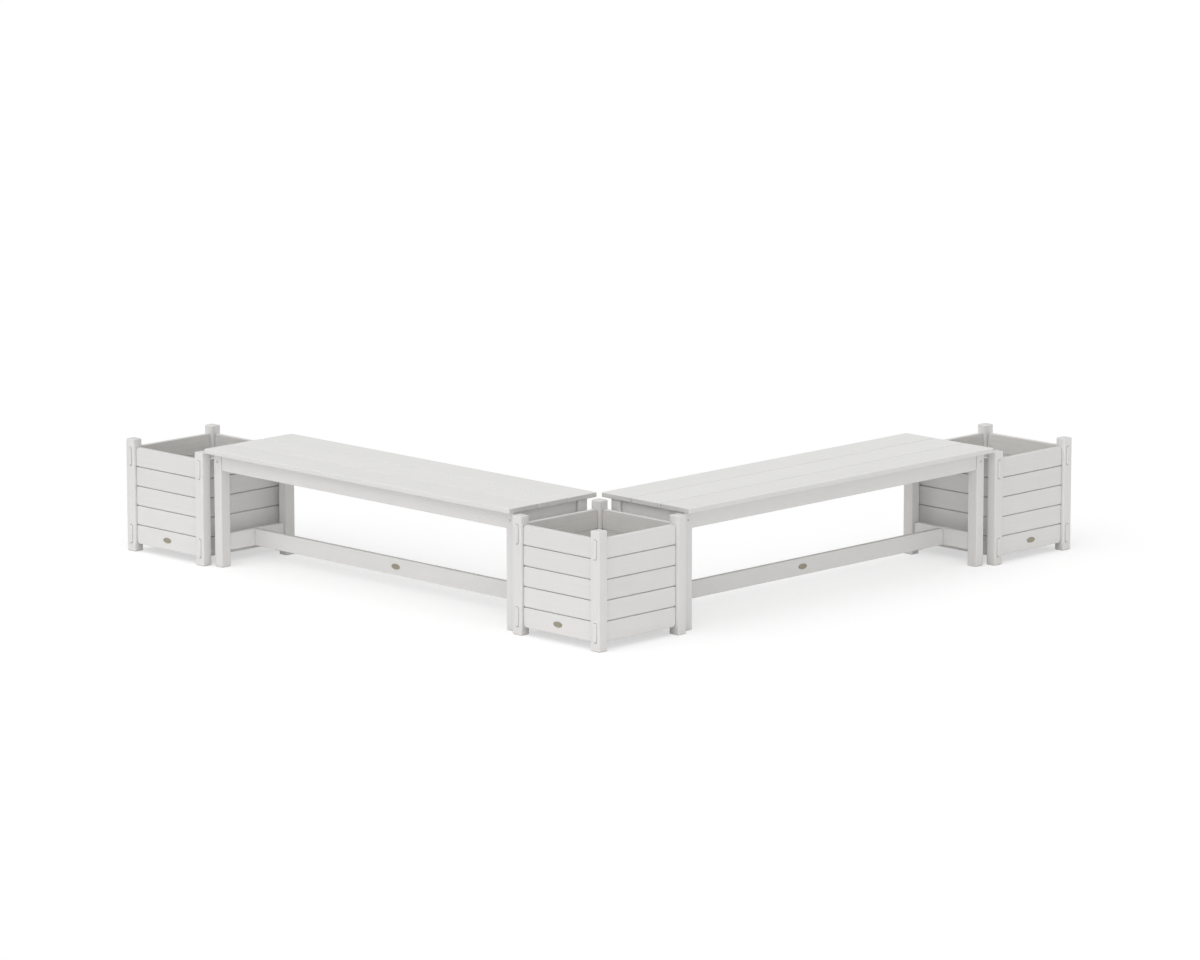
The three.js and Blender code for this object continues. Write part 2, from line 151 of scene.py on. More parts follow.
class LumberSettings(bpy.types.PropertyGroup):
    """Colours and finish of the plastic lumber."""

    seat_colour: bpy.props.FloatVectorProperty(
        name="Seat colour", description="Colour of the seat boards",
        subtype="COLOR", min=0.0, max=1.0, default=(0.820, 0.815, 0.798))
    slat_colour: bpy.props.FloatVectorProperty(
        name="Slat colour", description="Colour of the planters' slats",
        subtype="COLOR", min=0.0, max=1.0, default=(0.755, 0.746, 0.734))
    post_colour: bpy.props.FloatVectorProperty(
        name="Post colour", description="Colour of the posts and legs",
        subtype="COLOR", min=0.0, max=1.0, default=(0.755, 0.746, 0.734))
    frame_colour: bpy.props.FloatVectorProperty(
        name="Frame colour", description="Colour of aprons, battens and floors",
        subtype="COLOR", min=0.0, max=1.0, default=(0.752, 0.743, 0.731))
    # painted light: the stretchers are a lighter copy of the frame colour
    stretcher_painted_light_colour: bpy.props.FloatVectorProperty(
        name="Stretcher colour", description="Colour of the benches' stretchers",
        subtype="COLOR", min=0.0, max=1.0, default=(0.792, 0.783, 0.770))
    roughness: bpy.props.FloatProperty(
        name="Roughness", description="Mean roughness of the sawn and brushed faces",
        subtype="FACTOR", min=0.0, max=1.0, default=0.52)
    grain_depth: bpy.props.FloatProperty(
        name="Grain depth", description="Depth of the lengthwise brushed grain",
        unit="LENGTH", min=0.0, max=0.002, default=0.00040)
    edge_radius: bpy.props.FloatProperty(
        name="Edge radius", description="Easing of every arris",
        unit="LENGTH", min=0.0001, max=0.002, default=0.0008)


class BadgeSettings(bpy.types.PropertyGroup):
    """The plain oval plates on the planters and benches."""

    length: bpy.props.FloatProperty(
        name="Length", description="Length of the oval", unit="LENGTH", default=0.042)
    height: bpy.props.FloatProperty(
        name="Height", description="Height of the oval", unit="LENGTH", default=0.0195)
    thickness: bpy.props.FloatProperty(
        name="Thickness", description="How far the rim stands off the board",
        unit="LENGTH", default=0.0018)
    colour: bpy.props.FloatVectorProperty(
        name="Colour", description="Colour of the cast plate",
        subtype="COLOR", min=0.0, max=1.0, default=(0.335, 0.310, 0.235))


class ScrewSettings(bpy.types.PropertyGroup):
    """The screws in the legs, seat battens and planter floors."""

    leg_head: bpy.props.FloatProperty(
        name="Leg screw head", description="Head diameter of the screws in the legs",
        unit="LENGTH", default=0.0080)
    small_head: bpy.props.FloatProperty(
        name="Small head", description="Head diameter of the other screws",
        unit="LENGTH", default=0.0072)
    rise_share: bpy.props.FloatProperty(
        name="Rise", description="Height of a head as a share of its diameter",
        subtype="FACTOR", min=0.05, max=0.5, default=0.2)
    colour: bpy.props.FloatVectorProperty(
        name="Colour", description="Colour of the steel",
        subtype="COLOR", min=0.0, max=1.0, default=(0.54, 0.535, 0.52))


class StageSettings(bpy.types.PropertyGroup):
    """The floor, the light and the camera."""

    floor_span: bpy.props.FloatProperty(
        name="Floor span", description="Side of the square floor", unit="LENGTH", default=120.0)
    floor_glow: bpy.props.FloatProperty(
        name="Floor glow", description="White added to the floor where it is seen", default=0.545)
    sky_strength: bpy.props.FloatProperty(
        name="Sky strength", description="Even light from all round", default=0.61)
    key_strength: bpy.props.FloatProperty(
        name="Key strength", description="Strength of the broad key light", default=1.42)
    key_spread: bpy.props.FloatProperty(
        name="Key spread", description="Width of the key light as seen from the set",
        subtype="ANGLE", default=math.radians(80))
    key_from: bpy.props.FloatVectorProperty(
        name="Key from", description="Direction that the key light comes from",
        subtype="DIRECTION", default=(-0.54, -0.04, 0.84))
    fill_strength: bpy.props.FloatProperty(
        name="Fill strength", description="Strength of the fill light", default=0.64)
    fill_spread: bpy.props.FloatProperty(
        name="Fill spread", description="Width of the fill light as seen from the set",
        subtype="ANGLE", default=math.radians(60))
    fill_from: bpy.props.FloatVectorProperty(
        name="Fill from", description="Direction that the fill light comes from",
        subtype="DIRECTION", default=(-0.50, -0.86, 0.10))
    lens: bpy.props.FloatProperty(
        name="Lens", description="Focal length on a 36 mm wide sensor, in millimetres",
        default=179.916)
    camera_distance: bpy.props.FloatProperty(
        name="Camera distance",
        description="From the camera to the set's outer corner, along the ground",
        unit="LENGTH", default=19.7785)
    camera_height: bpy.props.FloatProperty(
        name="Camera height", description="Height of the camera above the ground",
        unit="LENGTH", default=4.4473)
    camera_pitch: bpy.props.FloatProperty(
        name="Camera pitch", description="Downward tilt of the camera",
        subtype="ANGLE", default=0.19232)


class Value:
    """A number that a material works out at each point. Operators on it add Math nodes."""

    def __init__(self, finish, socket):
        self.finish = finish
        self.socket = socket

    def _math(self, operation, *terms):
        return self.finish.node("Math", {"operation": operation}, dict(enumerate(terms)))

    def __add__(self, other):
        return self._math("ADD", self, other)

    __radd__ = __add__

    def __sub__(self, other):
        return self._math("SUBTRACT", self, other)

    def __rsub__(self, other):
        return self._math("SUBTRACT", other, self)

    def __mul__(self, other):
        return self._math("MULTIPLY", self, other)

    __rmul__ = __mul__

    def __truediv__(self, other):
        return self._math("DIVIDE", self, other)

    def __gt__(self, other):
        return self._math("GREATER_THAN", self, other)

    def __abs__(self):
        return self._math("ABSOLUTE", self)

    def floor(self):
        return self._math("FLOOR", self)

    def clamped(self):
        return self.finish.node("Clamp", {}, {0: self})


class Finish:
    """A node tree that is being written: node() adds any node and returns one of its outputs."""

    def __init__(self, tree):
        self.tree = tree
        tree.nodes.clear()

    @classmethod
    def material(cls, name):
        """A new material with this name, and the finish that writes its tree."""
        material = bpy.data.materials.new(name)
        material.use_nodes = True
        return material, cls(material.node_tree)

    def node(self, kind, settings, inputs, output=0):
        """Adds the shader node of this kind. Its settings are made first, then each input, by
        name or place, gets its value or its link."""
        node = self.tree.nodes.new("ShaderNode" + kind)
        for key, value in settings.items():
            setattr(node, key, value)
        for key, value in inputs.items():
            if isinstance(value, Value):
                self.tree.links.new(value.socket, node.inputs[key])
            else:
                node.inputs[key].default_value = value
        return Value(self, node.outputs[output]) if node.outputs else None

    def place(self):
        """Where a point is, in the set's own axes."""
        return self.node("TexCoord", {}, {}, output="Object")

    def facing(self):
        """The way a face points, in the set's own axes."""
        return self.node("TexCoord", {}, {}, output="Normal")

    def part(self, vector, axis):
        """One of a vector's three numbers."""
        return self.node("SeparateXYZ", {}, {0: vector}, output=axis)

    def spread(self, value, low, high):
        """0 below low and 1 above high, smooth between."""
        settings = {"interpolation_type": "SMOOTHSTEP"}
        return self.node("MapRange", settings, {"Value": value, "From Min": low, "From Max": high})

    def mix(self, factor, first, second):
        """A colour between two colours."""
        settings = {"data_type": "RGBA"}
        return self.node("Mix", settings, {0: factor, 6: first, 7: second}, output=2)

    def noise(self, place, scale, detail=2.0):
        """Noise from 0 to 1 on a place that is first stretched by scale, which is one number or
        one for each axis."""
        scales = (scale,) * 3 if isinstance(scale, float) else scale
        stretched = self.node("Mapping", {}, {"Vector": place, "Scale": scales})
        inputs = {"Vector": stretched, "Scale": 1.0, "Detail": detail, "Roughness": 0.55}
        return self.node("TexNoise", {}, inputs)

    def near_edge(self, radius, full):
        """0 on flat faces and 1 at an edge: it grows with one less the cosine of the angle
        between the face and the face as it would be if edges were rounded by radius, and
        reaches 1 where that is full."""
        rounded = self.node("Bevel", {"samples": 4}, {"Radius": radius})
        flat = self.node("NewGeometry", {}, {}, output="Normal")
        cosine = self.node(
            "VectorMath", {"operation": "DOT_PRODUCT"}, {0: rounded, 1: flat}, output="Value")
        return self.spread(1.0 - cosine, 0.01, full)

    def bump(self, strength, distance, height):
        """The normal of a relief that is at most distance high."""
        inputs = {"Strength": strength, "Distance": distance, "Height": height}
        return self.node("Bump", {}, inputs, output="Normal")

    def surface(self, inputs):
        """Ends a material in one Principled shader with these inputs."""
        self.node("OutputMaterial", {}, {"Surface": self.node("BsdfPrincipled", {}, inputs)})

    def seen_ray(self):
        """1 for rays from the camera, and for glossy and transmitted ones, and 0 for others."""
        rays = [self.node("LightPath", {}, {}, output=name)
                for name in ("Is Camera Ray", "Is Glossy Ray", "Is Transmission Ray")]
        return (rays[0] + rays[1] + rays[2]).clamped()


def swing(*patterns):
    """A sum of patterns, each less its middle of 0.5 and times its weight."""
    first, *others = [weight * (pattern - 0.5) for weight, pattern in patterns]
    return sum(others, first)


def shade(colour, factor):
    """A colour made lighter or darker, with its alpha."""
    return tuple(min(1.0, channel * factor) for channel in colour) + (1.0,)


def warmed(colour, factor):
    """A colour made lighter or darker, and a little yellower."""
    return shade((colour[0], 0.995 * colour[1], 0.975 * colour[2]), factor)


def two_boards(colour, factors, tint=shade):
    """The dark and the light board that a colour varies between."""
    return [tint(colour, factor) for factor in factors]


def changed(finish, mask, boards, others):
    """The dark and the light board, changed to two others where the mask is 1."""
    return [finish.mix(mask, board, other) for board, other in zip(boards, others)]


def along(axis, scales):
    """Three scales: the first along the board's axis and the second across it."""
    lengthwise, crosswise = scales
    return [lengthwise if number == axis else crosswise for number in range(3)]


def inner_face(finish, place, facing):
    """1 on the faces that look into a planter, which get painted shade and show their streaks
    more, and 0 elsewhere. It measures how far the way to the planter's middle runs along the
    normal."""
    toward = []
    for axis, (near, far) in enumerate((PLANTER_X, PLANTER_Y)):
        there = finish.part(place, axis)
        middle = near + (far - near) * (there > (near + far) / 2)
        toward.append(finish.part(facing, axis) * (middle - there))
    return finish.spread(toward[0] + toward[1], 0.05, 0.12)


def lumber_finish(name, family, colour, axis, tone, settings):
    """Extruded plastic lumber, brushed along one axis: fine grain and broader streaks that run
    lengthwise, a soft mottle, sawn ends with pores, lighter worn edges, dust near the ground and
    painted shade in the joints and sheltered places. Some families get painted shade on some
    faces: seat boards on their sides and ends, slats inside a planter, where the streaks also
    show more, and the frame and long stretchers on their tops."""
    material, finish = Finish.material(name)
    place, facing = finish.place(), finish.facing()
    height = finish.part(place, UP)
    sawn = finish.spread(abs(finish.part(facing, axis)), 0.80, 0.95)

    grain = finish.noise(place, along(axis, GRAIN_SCALES), detail=3.0)
    brushing = finish.noise(place, along(axis, BRUSHING_SCALES), detail=3.0)
    streak = finish.noise(place, along(axis, STREAK_SCALES))
    mottle = finish.noise(place, MOTTLE_SCALE, detail=3.0)
    skin = finish.noise(place, SKIN_SCALE, detail=1.0)
    pores = finish.spread(finish.noise(place, PORE_SCALE), 0.56, 0.66)
    edge = finish.near_edge(WORN_RADIUS, 0.16)

    lightness = 0.5 + tone + swing((0.22, grain), (0.5, brushing), (0.5, streak), (0.6, mottle))
    boards = two_boards(colour, BOARD_SHADES)
    # painted shade: seat boards darker on their sides, and darker still on their sawn ends
    if family == "seats":
        side = 1.0 - finish.spread(abs(finish.part(facing, UP)), 0.45, 0.80)
        boards = changed(finish, side, boards, two_boards(colour, SEAT_SIDE_PAINTED_SHADES))
        boards = changed(finish, sawn, boards, two_boards(colour, SEAT_END_PAINTED_SHADES))
    # painted shade: the upward faces of the frame and of the long stretchers are darker
    if family in ("frame", "long_stretcher"):
        shaded_top = finish.spread(finish.part(facing, UP), 0.5, 0.9)
        boards = changed(finish, shaded_top, boards, two_boards(colour, TOP_PAINTED_SHADES, warmed))
    # painted shade: slats darker on the faces inside a planter, with a wider spread between dark
    # and light streaks
    if family == "slats":
        inner = inner_face(finish, place, facing)
        boards = changed(finish, inner, boards, two_boards(colour, INNER_PAINTED_SHADES, warmed))
        slat = ((height - (WALL_LOW - SLAT_GAP / 2)) / SLAT_PITCH).floor()
        chance = finish.node(
            "TexWhiteNoise", {"noise_dimensions": "1D"}, {"W": slat + 10.0 * tone})
        lightness = lightness + swing((0.5, chance)) * (1.0 - inner)

    board = finish.mix(lightness.clamped(), *boards)
    ended = finish.mix(PORE_SHARE * sawn * pores, board, shade(colour, PORE_SHADE))
    worn = finish.mix(WORN_SHARE * edge * (0.5 + mottle), ended, shade(colour, WORN_SHADE))
    low = 1.0 - finish.spread(height, 0.0, DUST_HEIGHT)
    dusty = low * finish.spread(mottle + streak, 0.75, 1.25)
    dust = tuple(factor * channel for factor, channel in zip(DUST_SHADES, colour)) + (1.0,)
    dusted = finish.mix(DUST_SHARE * dusty, worn, dust)
    # painted shade: the colour darkens where ambient occlusion finds other surfaces close by, in
    # joints, gaps and under overhangs
    openness = finish.node(
        "AmbientOcclusion", {"samples": 8}, {"Distance": PAINTED_SHADE_REACH}, output="AO")
    painted_shade = finish.spread(1.0 - openness, 0.42, 0.95)
    base = finish.mix(PAINTED_SHADE_SHARE * painted_shade, dusted, warmed(colour, PAINTED_SHADE_TINT))

    roughness = (settings.roughness + swing((0.10, grain), (0.08, mottle))
                 + 0.16 * sawn + 0.10 * dusty - 0.10 * edge)
    brushed = (0.35 * grain + 0.9 * brushing + 0.6 * streak) * (1.0 - sawn)
    relief = brushed + 0.12 * skin - 0.4 * sawn * pores
    finish.surface({
        "Base Color": base, "Roughness": roughness.clamped(), "IOR": 1.5,
        "Normal": finish.bump(0.55, settings.grain_depth, relief)})
    return material


def badge_finish(settings):
    """A small cast plate in olive grey: sand-cast skin, a rubbed rim and a matt lacquer."""
    material, finish = Finish.material("badge_cast_plate")
    place = finish.place()
    cast = finish.noise(place, CAST_SCALE, detail=3.0)
    lacquer = finish.noise(place, LACQUER_SCALE)
    rubbed = finish.near_edge(0.0006, 0.12)
    lightness = 0.5 + swing((0.8, cast), (0.9, lacquer))
    colour = tuple(settings.colour)
    body = finish.mix(lightness.clamped(), shade(colour, 0.86), shade(colour, 1.12))
    roughness = 0.46 + swing((0.18, cast)) - 0.12 * rubbed
    finish.surface({
        "Base Color": finish.mix(0.5 * rubbed, body, shade(colour, 1.5)),
        "Roughness": roughness.clamped(), "Metallic": 0.35,
        "Normal": finish.bump(0.4, 0.00012, cast)})
    return material


def screw_finish(settings):
    """Weathered stainless steel, made once: turned rings are too fine to show, so a fine satin
    scatter, a darker film and a few lighter rubs."""
    name = "screw_satin_steel"
    if name in bpy.data.materials:
        return bpy.data.materials[name]
    material, finish = Finish.material(name)
    place = finish.place()
    satin = finish.noise(place, SATIN_SCALE)
    film = finish.noise(place, FILM_SCALE, detail=3.0)
    colour = tuple(settings.colour)
    rubbed = finish.spread(film, 0.35, 0.65)
    roughness = 0.36 + swing((0.25, satin), (0.2, film))
    finish.surface({
        "Base Color": finish.mix(rubbed, shade(colour, 0.70), shade(colour, 1.25)),
        "Roughness": roughness.clamped(), "Metallic": 1.0,
        "Normal": finish.bump(0.3, 0.00006, satin)})
    return material


def floor_finish(glow):
    """A matt white studio floor. Where the camera, a gloss or a clear piece sees it, its paint
    is a mid grey and it glows white as well, so that the unshaded floor comes out pure white
    and the set's shadow stays soft."""
    material, finish = Finish.material("studio_floor")
    cloud = finish.noise(finish.place(), FLOOR_CLOUD_SCALE)
    seen = finish.seen_ray()
    paint = finish.node("BsdfPrincipled", {}, {
        "Base Color": finish.mix(seen, FLOOR_WHITE, FLOOR_SEEN_GREY),
        "Roughness": 0.85 + 0.1 * cloud})
    light = finish.node("Emission", {}, {"Strength": glow * seen})
    both = finish.node("AddShader", {}, {0: paint, 1: light})
    finish.node("OutputMaterial", {}, {"Surface": both})
    return material


def circle(around):
    """Points on a circle of radius 1: (cos a, sin a) at each of so many even turns a."""
    turn = np.linspace(0, 2 * math.pi, around, endpoint=False)
    return np.stack([np.cos(turn), np.sin(turn)], axis=-1)


def raised(flat, out):
    """Rings of flat points, each ring lifted by its own distance out."""
    lift = np.broadcast_to(out[:, None, None], flat.shape[:2] + (1,))
    return np.concatenate([flat, lift], axis=-1)


def badge_rings(length, height, thickness, around=64):
    """The oval plate: the point at turn a of a ring is ((A - d) cos a, (B - d) sin a, h), where
    A and B are half the length and height. The inset d and the rise h follow one profile: up the
    side, over the rounded rim, down into the field, and up its low dome to the middle."""
    inset = np.array([0.0, 0.0, 0.00018, 0.0005, 0.0010, 0.0014, 0.0018])
    rise = np.array([-0.0002, 0.72, 0.92, 1.0, 0.97, 0.72, 0.60])
    rise[1:] *= thickness
    rim = np.array([length, height]) / 2 - inset[:, None]
    share = np.linspace(1.0, 0.06, 12)[1:]
    field = share[:, None] * rim[-1]
    dome = 0.22 * thickness
    out = np.concatenate([rise, rise[-1] + dome * (1 - share ** 2)])
    radii = np.concatenate([rim, field])
    return raised(radii[:, None, :] * circle(around), out)


def pin_rings(radius, rise, base, around=20):
    """A low domed pin: radius r cos t and height base + rise sin t, for t from 0 to nearly a
    quarter turn, over a short straight foot."""
    t = np.linspace(0, 0.96 * math.pi / 2, 6)
    radii = radius * np.concatenate([[1.0], np.cos(t)])
    out = base + np.concatenate([[-0.0006], rise * np.sin(t)])
    return raised(radii[:, None, None] * circle(around), out)


def screw_rings(diameter, rise_share, around=24):
    """A pan head with a six-lobed socket: radius R s (1 + k cos 6a) at turn a, and height H t.
    The shares s and t run up the side, over the dome and down into the socket, and k is only in
    the socket."""
    radius_share = np.array([0.97, 1.0, 0.985, 0.90, 0.74, 0.58, 0.52, 0.47, 0.42, 0.12])
    height_share = np.array([-0.12, 0.0, 0.36, 0.74, 0.95, 1.0, 0.93, 0.40, 0.16, 0.12])
    lobe_share = np.array([0.0, 0.0, 0.0, 0.0, 0.0, 0.0, 0.13, 0.15, 0.15, 0.0])
    turn = np.linspace(0, 2 * math.pi, around, endpoint=False)
    lobes = 1 + lobe_share[:, None] * np.cos(6 * turn)
    radius = diameter / 2 * radius_share[:, None] * lobes
    return raised(radius[..., None] * circle(around), diameter * rise_share * height_share)


def placed(profile, places, normals):
    """Carries rings to their places. Rings have the shape (rings, points, 3), with across, up and
    out as their coordinates. Out goes along each place's normal, up goes as near +Z as it can,
    or along +Y where the normal is upright, and across is up x out."""
    out = np.asarray(normals, dtype=float)
    upright = np.abs(out[:, 2:3]) > 0.5
    up = np.where(upright, (0.0, 1.0, 0.0), (0.0, 0.0, 1.0))
    axes = np.stack([np.cross(up, out), up, out], axis=1)
    return np.einsum("rpk,skj->srpj", profile, axes) + np.asarray(places)[:, None, None, :]


def closed_rings(name, rings, material):
    """An object made of closed shells. The rings have the shape (shells, rings, points, 3). Each
    shell's quads join neighbouring rings, and a fan to the middle of its first and of its last
    ring closes it. Rings go from the back to the front, and points go round leftwards as seen
    from the front, so all faces point out."""
    shells, count, around, _ = rings.shape
    poles = np.stack([rings[:, 0].mean(axis=1), rings[:, -1].mean(axis=1)], axis=1)
    points = np.concatenate([rings.reshape(shells, -1, 3), poles], axis=1)
    turn = np.arange(around)
    after = (turn + 1) % around
    start = (np.arange(count - 1) * around)[:, None]
    quads = np.stack([start + turn, start + after,
                      start + around + after, start + around + turn], axis=-1)
    last = (count - 1) * around
    back = np.stack([np.full(around, count * around), after, turn], axis=-1)
    front = np.stack([np.full(around, count * around + 1), last + turn, last + after], axis=-1)
    step = (np.arange(shells) * points.shape[1])[:, None, None]
    quads = (quads.reshape(1, -1, 4) + step).reshape(-1, 4)
    fans = (np.concatenate([back, front])[None] + step).reshape(-1, 3)
    mesh = bpy.data.meshes.new(name)
    mesh.from_pydata(points.reshape(-1, 3).tolist(), [], quads.tolist() + fans.tolist())
    mesh.polygons.foreach_set("use_smooth", np.ones(len(mesh.polygons), dtype=bool))
    mesh.materials.append(material)
    piece = bpy.data.objects.new(name, mesh)
    bpy.context.scene.collection.objects.link(piece)
    return piece


def add_screws(name, places, normals, diameter, settings):
    """One object that holds a screw head at each place."""
    rings = placed(screw_rings(diameter, settings.rise_share), places, normals)
    piece = closed_rings(name, rings, screw_finish(settings))
    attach(piece, "root")


def grain_axis(name):
    """The axis that a solid's boards run along: up for posts and legs, the shorter way across a
    planter's floor, the longer way of a wall, and else the longest side of the box."""
    low, high = node_box(name)
    size = high - low
    if name.endswith(("_post", "_leg")):
        return UP
    if name.endswith("_floor"):
        return int(np.argmin(size[:2]))
    if name.endswith("_wall"):
        return int(np.argmax(size[:2]))
    return int(np.argmax(size))


def lumber_family(name, slot):
    """The family of boards that share a finish: a solid's material slot, with the stretchers
    apart from the rest of the frame, for their lighter colour, which is painted light, and the
    painted shade on the long ones' tops."""
    if name.endswith("_long_stretcher"):
        return "long_stretcher"
    return "end_stretcher" if name.endswith("_stretcher") else slot


def smooth_group():
    """Geometry nodes that drop the imported normals and shade smoothly."""
    group = bpy.data.node_groups.new("smooth_eased_edges", "GeometryNodeTree")
    for way in ("INPUT", "OUTPUT"):
        group.interface.new_socket("Geometry", in_out=way, socket_type="NodeSocketGeometry")
    source = group.nodes.new("NodeGroupInput")
    result = group.nodes.new("NodeGroupOutput")
    normal = group.nodes.new("GeometryNodeSetMeshNormal")
    normal.mode = "SHARPNESS"
    normal.inputs["Remove Custom"].default_value = True
    group.links.new(source.outputs[0], normal.inputs["Mesh"])
    group.links.new(normal.outputs[0], result.inputs[0])
    return group


class PLANTERSET_OT_finish_lumber(bpy.types.Operator):
    """Ease the edges of the solids and give them their lumber finish."""

    bl_idname = "planter_set.finish_lumber"
    bl_label = "Finish the lumber"

    def execute(self, context):
        settings = context.scene.planter_set_lumber
        colours = {
            "seats": tuple(settings.seat_colour),
            "slats": tuple(settings.slat_colour),
            "posts": tuple(settings.post_colour),
            "frame": tuple(settings.frame_colour),
            # painted light: the stretchers take their lighter colour
            "long_stretcher": tuple(settings.stretcher_painted_light_colour),
            "end_stretcher": tuple(settings.stretcher_painted_light_colour),
        }
        slots = {part["node"]: part["material_slot"] for part in frame["record"]["subparts"]}
        finishes = {}
        smooth = smooth_group()
        for index, name in enumerate(sorted(frame["nodes"])):
            node = frame["nodes"][name]
            family, axis = lumber_family(name, slots[name]), grain_axis(name)
            step = index * TONE_STEP % TONES
            key = f"lumber_{family}_{'xyz'[axis]}_{step}"
            if key not in finishes:
                tone = TONE_RANGE * (step / (TONES - 1) - 0.5)
                finishes[key] = lumber_finish(key, family, colours[family], axis, tone, settings)
            node.data.materials.clear()
            node.data.materials.append(finishes[key])
            self.ease(node, settings.edge_radius, smooth)
        return {"FINISHED"}

    @staticmethod
    def ease(node, radius, smooth):
        """Joins the mesh's loose triangles at their corners and rounds every arris."""
        weld = node.modifiers.new("joined_corners", "WELD")
        weld.merge_threshold = JOIN_DISTANCE
        shaded = node.modifiers.new("smooth_shading", "NODES")
        shaded.node_group = smooth
        eased = node.modifiers.new("eased_edges", "BEVEL")
        eased.width = radius
        eased.segments = 2
        eased.limit_method = "ANGLE"
        eased.angle_limit = SHARP_ANGLE
        eased.use_clamp_overlap = False
        eased.harden_normals = True


class PLANTERSET_OT_add_badges(bpy.types.Operator):
    """Add the plain oval plate to each planter's face wall and each bench's long stretcher."""

    bl_idname = "planter_set.add_badges"
    bl_label = "Add the badges"

    def execute(self, context):
        settings = context.scene.planter_set_badge
        material = badge_finish(settings)
        plate = badge_rings(settings.length, settings.height, settings.thickness)
        pin = pin_rings(PIN_RADIUS, PIN_RISE, PIN_FOOT_SHARE * settings.thickness)
        for name in PLANTERS + BENCHES:
            place, normal = self.station(name)
            reach = PIN_REACH_SHARE * settings.length * np.cross((0.0, 0.0, 1.0), normal)
            for piece_name, rings in (
                    (f"{name}_badge", placed(plate, [place], [normal])),
                    (f"{name}_badge_pins", placed(pin, [place - reach, place + reach],
                                                  [normal, normal]))):
                piece = closed_rings(piece_name, rings, material)
                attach(piece, "root")
        return {"FINISHED"}

    @staticmethod
    def station(name):
        """The middle of the badge on the board's outer face, and that face's normal."""
        board = f"{name}_face_wall" if name in PLANTERS else f"{name}_long_stretcher"
        low, high = node_box(board)
        across = across_axis(name)
        place = (low + high) / 2
        place[across] = low[across]
        if name in PLANTERS:
            place[UP] = low[UP] + SLAT_HEIGHT / 2
        normal = np.zeros(3)
        normal[across] = -1.0
        return place, normal


class PLANTERSET_OT_add_leg_screws(bpy.types.Operator):
    """Add the screw that holds each end apron, on the long side of every leg."""

    bl_idname = "planter_set.add_leg_screws"
    bl_label = "Add the leg screws"

    def execute(self, context):
        settings = context.scene.planter_set_screw
        for bench in BENCHES:
            across = across_axis(bench)
            places, normals = [], []
            for end in BENCH_ENDS:
                for side, way in (("outer", -1), ("inner", 1)):
                    low, high = node_box(f"{bench}_{end}_{side}_leg")
                    place = (low + high) / 2
                    place[across] = (high if way > 0 else low)[across]
                    place[UP] = APRON_MIDDLE
                    normal = np.zeros(3)
                    normal[across] = way
                    places.append(place)
                    normals.append(normal)
            add_screws(f"{bench}_leg_screws", places, normals, settings.leg_head, settings)
        return {"FINISHED"}


class PLANTERSET_OT_add_floor_screws(bpy.types.Operator):
    """Add the screws that hold each planter's floor boards to their cleats."""

    bl_idname = "planter_set.add_floor_screws"
    bl_label = "Add the floor screws"

    def execute(self, context):
        settings = context.scene.planter_set_screw
        for planter in PLANTERS:
            places = self.places(planter)
            normals = np.tile((0.0, 0.0, 1.0), (len(places), 1))
            add_screws(f"{planter}_floor_screws", places, normals, settings.small_head, settings)
        return {"FINISHED"}

    @staticmethod
    def places(planter):
        """Two screws through each end of each of the three boards, into the cleat below."""
        low, high = node_box(f"{planter}_floor")
        lengthwise = grain_axis(f"{planter}_floor")
        across = 1 - lengthwise
        width = (high - low)[across] / FLOOR_BOARDS
        reach = (high - low)[lengthwise] / 2 - FLOOR_SCREW_FROM_END
        shifts = np.array([board * width + pair * FLOOR_SCREW_SHARE * width
                           for board in (-1, 0, 1) for pair in (-1, 1)])
        places = np.tile((low + high) / 2, (2 * len(shifts), 1))
        places[:, across] += np.tile(shifts, 2)
        places[:, lengthwise] += np.repeat([-reach, reach], len(shifts))
        places[:, UP] = high[UP]
        return places


class PLANTERSET_OT_add_seat_screws(bpy.types.Operator):
    """Add the screws that go up through each seat batten into the boards."""

    bl_idname = "planter_set.add_seat_screws"
    bl_label = "Add the seat screws"

    def execute(self, context):
        settings = context.scene.planter_set_screw
        for bench in BENCHES:
            places = [place for end in BENCH_ENDS for board in SEAT_BOARDS
                      for place in self.places(bench, end, board)]
            normals = np.tile((0.0, 0.0, -1.0), (len(places), 1))
            add_screws(f"{bench}_seat_screws", places, normals, settings.small_head, settings)
        return {"FINISHED"}

    @staticmethod
    def places(bench, end, board):
        """Two staggered screws where a batten crosses a seat board, on the batten's underside."""
        across = across_axis(bench)
        low, high = node_box(f"{bench}_{end}_batten")
        board_low, board_high = node_box(f"{bench}_seat_board_{board}")
        near = max(low[across] + BATTEN_MARGIN, board_low[across])
        far = min(high[across] - BATTEN_MARGIN, board_high[across])
        places = np.tile((low + high) / 2, (2, 1))
        pair = np.array([-1, 1])
        places[:, across] = (near + far) / 2 + pair * SEAT_SCREW_SHARE * (far - near)
        places[:, 1 - across] += pair * SEAT_SCREW_STAGGER
        places[:, UP] = low[UP]
        return places


